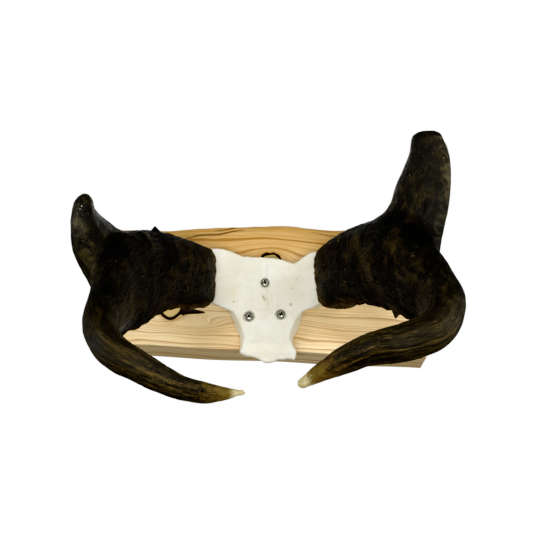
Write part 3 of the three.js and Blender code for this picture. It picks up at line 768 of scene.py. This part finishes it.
def build_screw(name, x, z, seat, turn):
    """A pan head with a cross recess, cut from a fine field, and its threaded shank. Axis out of the wall."""
    h = 0.16
    R = 3.6
    lo, hi = np.array([-4.2, -4.2, -0.4]), np.array([4.2, 4.2, 3.6])
    Q, shape = grid_points(lo, hi, h)
    r = np.hypot(Q[:, 0], Q[:, 1])
    t = Q[:, 2]
    dome = np.sqrt(r ** 2 + (t + 2.55) ** 2) - 5.35          # rounded top
    d = smax(smax(r - R, dome, 0.5), 0.3 - t, 0.3)
    a = math.radians(turn)
    cu, cv = Q[:, 0] * math.cos(a) + Q[:, 1] * math.sin(a), -Q[:, 0] * math.sin(a) + Q[:, 1] * math.cos(a)
    depth = 2.8 - t
    taper = np.clip(1 - depth / 4.6, 0.3, 1.2)
    slot = lambda p, q: np.maximum(np.maximum(np.abs(p) - 2.1 * taper, np.abs(q) - 0.56 * taper), 1.1 - t)
    cone = np.maximum(r - 1.25 * taper, 0.8 - t)
    recess = smin(smin(slot(cu, cv), slot(cv, cu), 0.25), cone, 0.2)
    d = smax(d, -recess, 0.14)
    V, F = surface_nets(d.reshape(shape), lo, h)
    V = relax(V, F, 2)
    # shank with a rolled thread, its point in the wood
    length = seat - (BOARD_FACE - 24) - 0.3
    turns, side = 15, 24
    n = 150
    tt = np.linspace(0, 1, n)
    sh = []
    for q in tt:
        depth_q = 0.2 - q * (length + 0.2)
        th = np.arange(side) * 2 * math.pi / side
        core = 1.35 * min(1.0, (1 - q) * 4.5 + 0.06)
        phase = (q * turns * 2 * math.pi - th) % (2 * math.pi)
        ridge = 0.45 * np.maximum(0, 1 - np.abs(phase - math.pi) / 1.1) * smooth(0.06, 0.2, q) * min(1, (1 - q) * 6)
        rr = core + ridge if q > 0.02 else np.full(side, 1.35)
        sh.append(np.stack([rr * np.cos(th), rr * np.sin(th), np.full(side, depth_q + 0.3)], 1))
    S = np.concatenate(sh)
    i = np.arange(n - 1)[:, None]
    j = np.arange(side)[None, :]
    k = (j + 1) % side
    SF = np.stack([i * side + k, i * side + j, (i + 1) * side + j, (i + 1) * side + k], -1).reshape(-1, 4)[:, ::-1]
    V = np.concatenate([V, S])
    F = np.concatenate([F, SF + len(V) - len(S)])
    # t runs out of the wall: x stays, the second axis becomes up
    W = np.stack([V[:, 0] + x, -(V[:, 2] + seat), V[:, 1] + z], 1)
    ob = mesh_object(name, W, F)
    import bmesh
    bm = bmesh.new()
    bm.from_mesh(ob.data)
    bmesh.ops.holes_fill(bm, edges=[e for e in bm.edges if e.is_boundary], sides=0)
    bmesh.ops.recalc_face_normals(bm, faces=bm.faces)
    bm.to_mesh(ob.data)
    bm.free()
    ob.data.update()
    ob.data.shade_smooth()
    V, N = read_points(ob)
    r = np.hypot(V[:, 0] - x, V[:, 2] - z)
    t = -V[:, 1] - seat
    # the cross recess, darkened in the zinc colour as painted shade
    attribute(ob, "recess", np.clip(smooth(2.5, 1.9, r) * smooth(2.62, 2.2, t + 0.05 * r * r), 0, 1))
    return ob


screws = {name: build_screw(name + "_head", *spec) for name, spec in SCREWS.items()}

# =============================================================================================
# materials
# =============================================================================================


class Nodes:
    """Short hand for building a node tree."""

    def __init__(self, name):
        self.mat = bpy.data.materials.new(name)
        self.mat.use_nodes = True
        self.tree = self.mat.node_tree
        self.bsdf = self.tree.nodes["Principled BSDF"]

    def put(self, kind, **props):
        n = self.tree.nodes.new(kind)
        for k, v in props.items():
            setattr(n, k, v)
        return n

    def wire(self, a, b):
        self.tree.links.new(a, b)

    def feed(self, socket, value):
        if hasattr(value, "is_linked") or hasattr(value, "links"):
            self.wire(value, socket)
        else:
            socket.default_value = value

    def attr(self, name, vector=False):
        n = self.put("ShaderNodeAttribute", attribute_name=name, attribute_type="GEOMETRY")
        return n.outputs["Vector"] if vector else n.outputs["Fac"]

    def math(self, op, a, b=None, clamp=False):
        n = self.put("ShaderNodeMath", operation=op, use_clamp=clamp)
        self.feed(n.inputs[0], a)
        if b is not None:
            self.feed(n.inputs[1], b)
        return n.outputs[0]

    def range(self, v, a, b, c=0.0, d=1.0, mode="SMOOTHSTEP"):
        n = self.put("ShaderNodeMapRange", interpolation_type=mode)
        self.feed(n.inputs[0], v)
        for k, q in zip((1, 2, 3, 4), (a, b, c, d)):
            n.inputs[k].default_value = q
        return n.outputs[0]

    def scale(self, vec, s):
        n = self.put("ShaderNodeVectorMath", operation="MULTIPLY")
        self.feed(n.inputs[0], vec)
        n.inputs[1].default_value = s
        return n.outputs[0]

    def noise(self, vec, scale=1.0, detail=3.0, rough=0.55, distort=0.0):
        n = self.put("ShaderNodeTexNoise")
        self.wire(vec, n.inputs["Vector"])
        n.inputs["Scale"].default_value = scale
        n.inputs["Detail"].default_value = detail
        n.inputs["Roughness"].default_value = rough
        n.inputs["Distortion"].default_value = distort
        return n.outputs["Fac"]

    def ramp(self, v, stops, mode="LINEAR"):
        n = self.put("ShaderNodeValToRGB")
        n.color_ramp.interpolation = mode
        el = n.color_ramp.elements
        while len(el) < len(stops):
            el.new(0.5)
        for e, (pos, col) in zip(el, stops):
            e.position = pos
            e.color = (*col, 1.0)
        self.feed(n.inputs[0], v)
        return n.outputs["Color"]

    def mix(self, fac, a, b, blend="MIX"):
        n = self.put("ShaderNodeMix", data_type="RGBA", blend_type=blend)
        self.feed(n.inputs["Factor"], fac)
        col = [s for s in n.inputs if s.type == "RGBA"]
        for sock, v in zip(col, (a, b)):
            if isinstance(v, tuple):
                sock.default_value = (*v, 1.0)
            else:
                self.wire(v, sock)
        return [s for s in n.outputs if s.type == "RGBA"][0]

    def bump(self, height, strength, distance, normal=None):
        n = self.put("ShaderNodeBump")
        n.inputs["Strength"].default_value = strength
        n.inputs["Distance"].default_value = distance
        self.wire(height, n.inputs["Height"])
        if normal is not None:
            self.wire(normal, n.inputs["Normal"])
        return n.outputs["Normal"]


def horn_material():
    m = Nodes("horn_keratin")
    fib = m.attr("fib", True)
    tip, tine, hook, base, edge, hind, gloss, relief, prong = (
        m.attr(k) for k in ("tip", "tine", "hook", "base", "edge", "hind", "gloss", "relief", "prong"))
    pos = m.put("ShaderNodeTexCoord").outputs["Object"]
    long1 = m.noise(m.scale(fib, (0.40, 0.40, 0.016)), 1.0, 4, 0.6, 0.4)
    long2 = m.noise(m.scale(fib, (1.5, 1.5, 0.05)), 1.0, 4, 0.65, 0.2)
    hair = m.noise(m.scale(fib, (3.2, 3.2, 0.16)), 1.0, 3, 0.6)
    speck = m.noise(m.scale(pos, (520, 520, 520)), 1.0, 2, 0.6)
    blot = m.noise(m.scale(pos, (46, 46, 46)), 1.0, 4, 0.6, 0.8)
    mott = m.noise(m.scale(pos, (150, 150, 150)), 1.0, 4, 0.65, 0.5)
    # shaft: black, brown where it shows through in patches and at the frayed edges
    brown = m.math("MULTIPLY", m.range(blot, 0.46, 0.68), m.range(mott, 0.35, 0.7))
    col = m.mix(m.math("MULTIPLY", brown, 0.75), (0.0040, 0.0034, 0.0020), (0.112, 0.081, 0.027))
    col = m.mix(m.math("MULTIPLY", hind, m.range(mott, 0.38, 0.62, 0.1, 0.9)), col, (0.125, 0.088, 0.034))
    # prong and hook: very dark olive brown
    olive = m.ramp(m.math("ADD", m.math("MULTIPLY", mott, 0.5), m.math("MULTIPLY", long2, 0.5)),
                   [(0.36, (0.005, 0.0045, 0.0022)), (0.48, (0.015, 0.0128, 0.0050)), (0.59, (0.052, 0.042, 0.0150)), (0.70, (0.160, 0.118, 0.042))])
    col = m.mix(m.math("MULTIPLY", m.math("MAXIMUM", prong, hook), m.range(blot, 0.3, 0.65, 0.25, 0.9)), col, olive)
    # tine: streaks of brown, olive and dull yellow
    streaks = m.ramp(m.math("ADD", m.math("MULTIPLY", long1, 0.55), m.math("MULTIPLY", hair, 0.45)), [(0.37, (0.0050, 0.0040, 0.0020)), (0.47, (0.022, 0.0170, 0.0065)), (0.55, (0.074, 0.055, 0.0185)),
                             (0.65, (0.170, 0.122, 0.042))])
    streaks = m.mix(m.range(long2, 0.52, 0.70, 0.0, 0.75), streaks, (0.007, 0.005, 0.003))
    lines = m.math("MULTIPLY", m.range(hair, 0.60, 0.74), m.range(mott, 0.42, 0.66))
    streaks = m.mix(m.math("MULTIPLY", lines, 0.85), streaks, (0.360, 0.270, 0.105))
    col = m.mix(m.math("MULTIPLY", tine, 0.92), col, streaks)
    # blade edges rubbed paler; pale scurf flecks, brighter on raised fibre, partly painted glints
    col = m.mix(m.math("MULTIPLY", edge, m.range(mott, 0.40, 0.70, 0.0, 0.6)), col, (0.110, 0.095, 0.050))
    fleck_and_glint = m.math("MULTIPLY", m.range(speck, 0.69, 0.735), m.math("SUBTRACT", 1.0, tine))
    col = m.mix(m.math("MULTIPLY", fleck_and_glint, m.range(relief, 0.4, 0.8, 0.2, 0.9)), col, (0.46, 0.39, 0.25))
    # towards the point: mottled amber, then ivory
    shift = m.math("ADD", tip, m.math("MULTIPLY", m.math("SUBTRACT", mott, 0.5), 60.0))
    col = m.mix(m.range(shift, 30, 0, 0.0, 0.8), col, (0.205, 0.142, 0.038))
    shift = m.math("ADD", tip, m.math("MULTIPLY", m.math("SUBTRACT", long2, 0.5), 16.0))
    col = m.mix(m.range(shift, 3.5, -2.5), col, m.ramp(mott, [(0.35, (0.42, 0.34, 0.15)), (0.62, (0.66, 0.58, 0.34))]))
    m.wire(col, m.bsdf.inputs["Base Color"])
    rough = m.range(long2, 0.3, 0.7, 0.36, 0.60, "LINEAR")
    rough = m.math("ADD", rough, m.math("MULTIPLY", base, 0.08))
    rough = m.math("SUBTRACT", rough, m.math("MULTIPLY", gloss, 0.32))
    m.wire(rough, m.bsdf.inputs["Roughness"])
    m.bsdf.inputs["Specular IOR Level"].default_value = 0.36
    n1 = m.bump(long2, 0.8, 0.0006)
    n2 = m.bump(m.math("ADD", hair, mott), 0.55, 0.0005, n1)
    m.wire(n2, m.bsdf.inputs["Normal"])
    return m.mat


def bone_material():
    m = Nodes("bleached_bone")
    pos = m.put("ShaderNodeTexCoord").outputs["Object"]
    stain, pits, rim = m.attr("stain"), m.attr("pits"), m.attr("rim")
    soft = m.noise(m.scale(pos, (60, 60, 60)), 1.0, 4, 0.55, 0.3)
    fine = m.noise(m.scale(pos, (420, 420, 420)), 1.0, 4, 0.65)
    pores = m.noise(m.scale(pos, (900, 900, 900)), 1.0, 2, 0.5)
    col = m.ramp(soft, [(0.3, (0.735, 0.715, 0.590)), (0.5, (0.80, 0.785, 0.680)), (0.7, (0.84, 0.83, 0.745))])
    col = m.mix(m.range(fine, 0.45, 0.75, 0.0, 0.35), col, (0.74, 0.70, 0.54))
    col = m.mix(m.math("MULTIPLY", stain, m.range(soft, 0.3, 0.7, 0.35, 0.75)), col, (0.70, 0.62, 0.38))
    # painted shade: side walls and edges facing away from the front darkened towards dull yellow brown
    col = m.mix(m.math("MULTIPLY", rim, 0.35), col, (0.66, 0.58, 0.38))
    # painted shade: slit, vessel openings and suture grooves darkened brown
    col = m.mix(m.math("MULTIPLY", pits, 0.85), col, (0.38, 0.27, 0.12))
    col = m.mix(m.math("MULTIPLY", m.range(pores, 0.68, 0.78), 0.25), col, (0.45, 0.36, 0.2))
    m.wire(col, m.bsdf.inputs["Base Color"])
    m.wire(m.range(fine, 0.3, 0.7, 0.52, 0.7, "LINEAR"), m.bsdf.inputs["Roughness"])
    m.bsdf.inputs["Specular IOR Level"].default_value = 0.4
    n1 = m.bump(fine, 0.2, 0.0004)
    m.wire(m.bump(pores, 0.18, 0.0002, n1), m.bsdf.inputs["Normal"])
    return m.mat


def wood_material():
    m = Nodes("knotty_pine")
    wood = m.attr("wood", True)
    kl, kt, bark, crack, amber, end, live, saw = (m.attr(k) for k in ("kl", "kt", "bark", "crack", "amber", "endgrain", "live", "saw"))
    sep = m.put("ShaderNodeSeparateXYZ")
    m.wire(wood, sep.inputs[0])
    gx, gg, go = sep.outputs
    # growth rings: unequal layers, each darkening slowly and ending sharply
    warp = m.noise(m.scale(wood, (0.010, 0.09, 0.05)), 1.0, 3, 0.6)
    ring = m.math("ADD", gg, m.math("MULTIPLY", warp, 6.0))
    layer = m.put("ShaderNodeTexNoise", noise_dimensions="1D")
    m.wire(m.math("MULTIPLY", ring, 0.15), layer.inputs["W"])
    layer.inputs["Scale"].default_value = 1.0
    layer.inputs["Detail"].default_value = 2.0
    layer.inputs["Roughness"].default_value = 0.6
    phase = m.math("MULTIPLY", m.math("ADD", ring, m.math("MULTIPLY", layer.outputs["Fac"], 10.0)), 0.30)
    part = m.math("FRACT", phase)
    which = m.put("ShaderNodeTexWhiteNoise", noise_dimensions="1D")
    m.wire(m.math("FLOOR", phase), which.inputs["W"])
    force = m.range(which.outputs["Value"], 0.0, 1.0, 0.10, 1.0, "LINEAR")
    late = m.math("MULTIPLY", m.math("POWER", m.range(part, 0.35, 0.95, 0.0, 1.0, "LINEAR"), 2.4), m.range(part, 1.0, 0.95))
    late = m.math("MULTIPLY", late, force)
    thread = m.noise(m.scale(wood, (0.030, 1.7, 0.8)), 1.0, 4, 0.6)
    broad = m.noise(m.scale(wood, (0.014, 0.05, 0.05)), 1.0, 3, 0.5)
    flecks = m.noise(m.scale(wood, (0.10, 2.6, 1.2)), 1.0, 3, 0.6)
    col = m.ramp(broad, [(0.3, (0.790, 0.580, 0.310)), (0.5, (0.865, 0.685, 0.400)), (0.7, (0.900, 0.755, 0.485))])
    col = m.mix(m.range(part, 0.0, 0.8, 0.0, 0.22, "LINEAR"), col, (0.560, 0.340, 0.120))
    col = m.mix(m.math("MULTIPLY", late, 1.0), col, (0.360, 0.155, 0.034))
    col = m.mix(m.range(thread, 0.48, 0.80, 0.0, 0.38), col, (0.500, 0.285, 0.100))
    col = m.mix(m.math("MULTIPLY", m.range(flecks, 0.68, 0.80), 0.25), col, (0.360, 0.180, 0.055))
    # warmer towards the live edge
    col = m.mix(m.math("MULTIPLY", amber, m.range(thread, 0.25, 0.75, 0.92, 0.45, "LINEAR")), col, (0.500, 0.268, 0.034))
    col = m.mix(m.math("MULTIPLY", m.math("MULTIPLY", amber, late), 0.7), col, (0.260, 0.105, 0.010))
    fine = m.math("FRACT", m.math("MULTIPLY", phase, 3.7))
    col = m.mix(m.range(fine, 0.55, 0.98, 0.0, 0.20, "LINEAR"), col, (0.44, 0.23, 0.065))
    # painted shade: downward faces greyed and darkened
    col = m.mix(m.math("MULTIPLY", m.attr("underside_shade"), 0.25), col, (0.500, 0.390, 0.190))
    # knots: a pale core with its own rings, darker wood round it
    core = m.range(kl, 1.0, 0.9)
    rings_l = m.math("FRACT", m.math("MULTIPLY", kl, 5.0))
    core_col = m.mix(m.range(rings_l, 0.55, 1.0, 0.0, 0.5), (0.66, 0.50, 0.22), (0.42, 0.25, 0.07))
    col = m.mix(core, col, core_col)
    halo = m.math("MULTIPLY", m.range(kl, 1.7, 1.05, 0.0, 0.5), m.range(kl, 0.95, 1.0))
    col = m.mix(halo, col, (0.42, 0.22, 0.06))
    core_t = m.math("MULTIPLY", m.range(kt, 1.0, 0.9), 0.85)
    col = m.mix(core_t, col, (0.44, 0.34, 0.12))
    halo_t = m.math("MULTIPLY", m.range(kt, 2.0, 1.05, 0.0, 0.45), m.range(kt, 0.95, 1.0))
    col = m.mix(halo_t, col, (0.48, 0.26, 0.06))
    col = m.mix(m.range(bark, 0.35, -0.25), col, m.ramp(thread, [(0.3, (0.006, 0.003, 0.0015)), (0.6, (0.030, 0.008, 0.005)), (0.8, (0.10, 0.035, 0.012))]))
    col = m.mix(m.range(crack, 0.5, -0.3, 0.0, 0.85), col, (0.115, 0.045, 0.010))
    col = m.mix(m.math("MULTIPLY", end, 0.35), col, (0.45, 0.30, 0.14))
    m.wire(col, m.bsdf.inputs["Base Color"])
    m.wire(m.range(thread, 0.3, 0.7, 0.42, 0.58, "LINEAR"), m.bsdf.inputs["Roughness"])
    m.bsdf.inputs["Specular IOR Level"].default_value = 0.45
    teeth = m.math("MULTIPLY", m.math("SINE", m.math("MULTIPLY", gx, 3.4)), saw)
    n1 = m.bump(thread, 0.22, 0.0004)
    n2 = m.bump(late, 0.15, 0.0004, n1)
    m.wire(m.bump(teeth, 0.12, 0.0003, n2), m.bsdf.inputs["Normal"])
    return m.mat


def zinc_material():
    m = Nodes("zinc_screw")
    pos = m.put("ShaderNodeTexCoord").outputs["Object"]
    recess = m.attr("recess")
    fine = m.noise(m.scale(pos, (1600, 1600, 1600)), 1.0, 3, 0.6)
    col = m.ramp(fine, [(0.3, (0.36, 0.35, 0.29)), (0.7, (0.58, 0.57, 0.50))])
    # painted shade: the cross recess darkened nearly black
    col = m.mix(m.math("MULTIPLY", recess, 0.85), col, (0.035, 0.032, 0.018))
    m.wire(col, m.bsdf.inputs["Base Color"])
    m.bsdf.inputs["Metallic"].default_value = 1.0
    m.wire(m.range(fine, 0.3, 0.7, 0.20, 0.36, "LINEAR"), m.bsdf.inputs["Roughness"])
    m.wire(m.bump(fine, 0.1, 0.0001), m.bsdf.inputs["Normal"])
    return m.mat


def dress(ob, mat):
    ob.data.materials.clear()
    ob.data.materials.append(mat)


horn_mat, bone_mat, wood_mat, zinc_mat = horn_material(), bone_material(), wood_material(), zinc_material()
for ob in (horn_left, horn_right):
    dress(ob, horn_mat)
dress(plate, bone_mat)
dress(board, wood_mat)
for ob in screws.values():
    dress(ob, zinc_mat)

# =============================================================================================
# the pieces stand for their CAD nodes
# =============================================================================================
for side, ob in (("left", horn_left), ("right", horn_right)):
    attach(ob, "root")
    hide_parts(*[f"horn_{side}_{part}" for part in ("shaft", "prong", "hook", "tip")])
for ob, node, slot in ((plate, "skull_plate", "bone"), (board, "plaque_board", "pine"),
                       *[(ob, name, "screw_zinc") for name, ob in screws.items()]):
    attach(ob, "root")
    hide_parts(node)

# =============================================================================================
# floor, light and camera
# =============================================================================================


def studio():
    n = 96
    ang = np.arange(n) * 2 * math.pi / n
    V = np.concatenate([[[0, 0, 0]], np.stack([7 * np.cos(ang), 7 * np.sin(ang), 0 * ang], 1)]) * 1000
    V[:, 2] -= 1200
    F = np.array([[0, 1 + i, 1 + (i + 1) % n] for i in range(n)])
    floor = mesh_object("studio_floor", V, F)
    m = Nodes("studio_floor")
    m.bsdf.inputs["Base Color"].default_value = (0.86, 0.86, 0.85, 1)
    m.bsdf.inputs["Roughness"].default_value = 0.9
    dress(floor, m.mat)
    floor.visible_diffuse = False
    floor.visible_glossy = False

    world = bpy.data.worlds.new("studio")
    scene.world = world
    world.use_nodes = True
    nt = world.node_tree
    bg = nt.nodes["Background"]
    bg.inputs["Color"].default_value = (1, 1, 1, 1)
    bg.inputs["Strength"].default_value = 0.17
    white = nt.nodes.new("ShaderNodeBackground")
    white.inputs["Color"].default_value = (1, 1, 1, 1)
    white.inputs["Strength"].default_value = 1.0
    path = nt.nodes.new("ShaderNodeLightPath")
    mixer = nt.nodes.new("ShaderNodeMixShader")
    nt.links.new(path.outputs["Is Camera Ray"], mixer.inputs[0])
    nt.links.new(bg.outputs[0], mixer.inputs[1])
    nt.links.new(white.outputs[0], mixer.inputs[2])
    nt.links.new(mixer.outputs[0], nt.nodes["World Output"].inputs["Surface"])

    def lamp(name, at, aim, size, watts, colour=(1, 1, 1)):
        d = bpy.data.lights.new(name, "AREA")
        d.shape = "RECTANGLE"
        d.size, d.size_y = size
        d.energy = watts
        d.color = colour
        o = bpy.data.objects.new(name, d)
        scene.collection.objects.link(o)
        o.visible_camera = False
        o.location = at
        o.rotation_euler = (Vector(aim) - Vector(at)).to_track_quat("-Z", "Y").to_euler()

    aim = (0, -0.10, 0)
    lamp("key", (-0.5, -1.75, 1.0), aim, (1.0, 0.8), 14.5, (1.0, 0.985, 0.96))
    lamp("side", (1.25, -1.45, 0.9), aim, (0.6, 0.8), 9, (1.0, 0.99, 0.97))
    lamp("front", (0.0, -1.9, -0.85), aim, (1.5, 0.6), 29, (1, 1, 1))
    lamp("back", (0.0, 1.6, 0.5), aim, (1.6, 1.2), 14, (1, 1, 1))
    lamp("left", (-1.9, -0.25, 0.15), aim, (1.2, 1.6), 18, (1, 1, 1))
    lamp("right", (1.9, -0.25, 0.15), aim, (1.2, 1.6), 18, (1, 1, 1))
    lamp("floor", (0, 0, -0.62), (0, 0.001, -1.2), (15.0, 15.0), 480, (1, 1, 1))


studio()

FOCAL_PX, IMAGE_PX = 1067.0, 533.0
cam_data = bpy.data.cameras.new("camera")
cam_data.sensor_fit = "HORIZONTAL"
cam_data.sensor_width = 36.0
cam_data.lens = FOCAL_PX / IMAGE_PX * 36.0
cam_data.clip_start, cam_data.clip_end = 0.02, 30.0
cam_data.dof.use_dof = False
cam = bpy.data.objects.new("camera", cam_data)
scene.collection.objects.link(cam)
AIM_M, RANGE_M, LOOK_UP = Vector((0, -0.064, 0.011)), 0.853, math.radians(15)
cam.location = AIM_M + Vector((0, -math.cos(LOOK_UP), -math.sin(LOOK_UP))) * RANGE_M
cam.rotation_euler = (AIM_M - cam.location).to_track_quat("-Z", "Y").to_euler()
scene.camera = cam

scene.view_settings.view_transform = "Standard"
scene.view_settings.look = "None"
scene.view_settings.exposure = 0.0
scene.view_settings.gamma = 1.0
# a firm toe, as in the picture: darks fall away, lights stay
scene.view_settings.use_curve_mapping = True
tone = scene.view_settings.curve_mapping
curve = tone.curves[3]
for at in ((0.045, 0.008), (0.15, 0.105), (0.40, 0.365)):
    curve.points.new(*at)
tone.update()
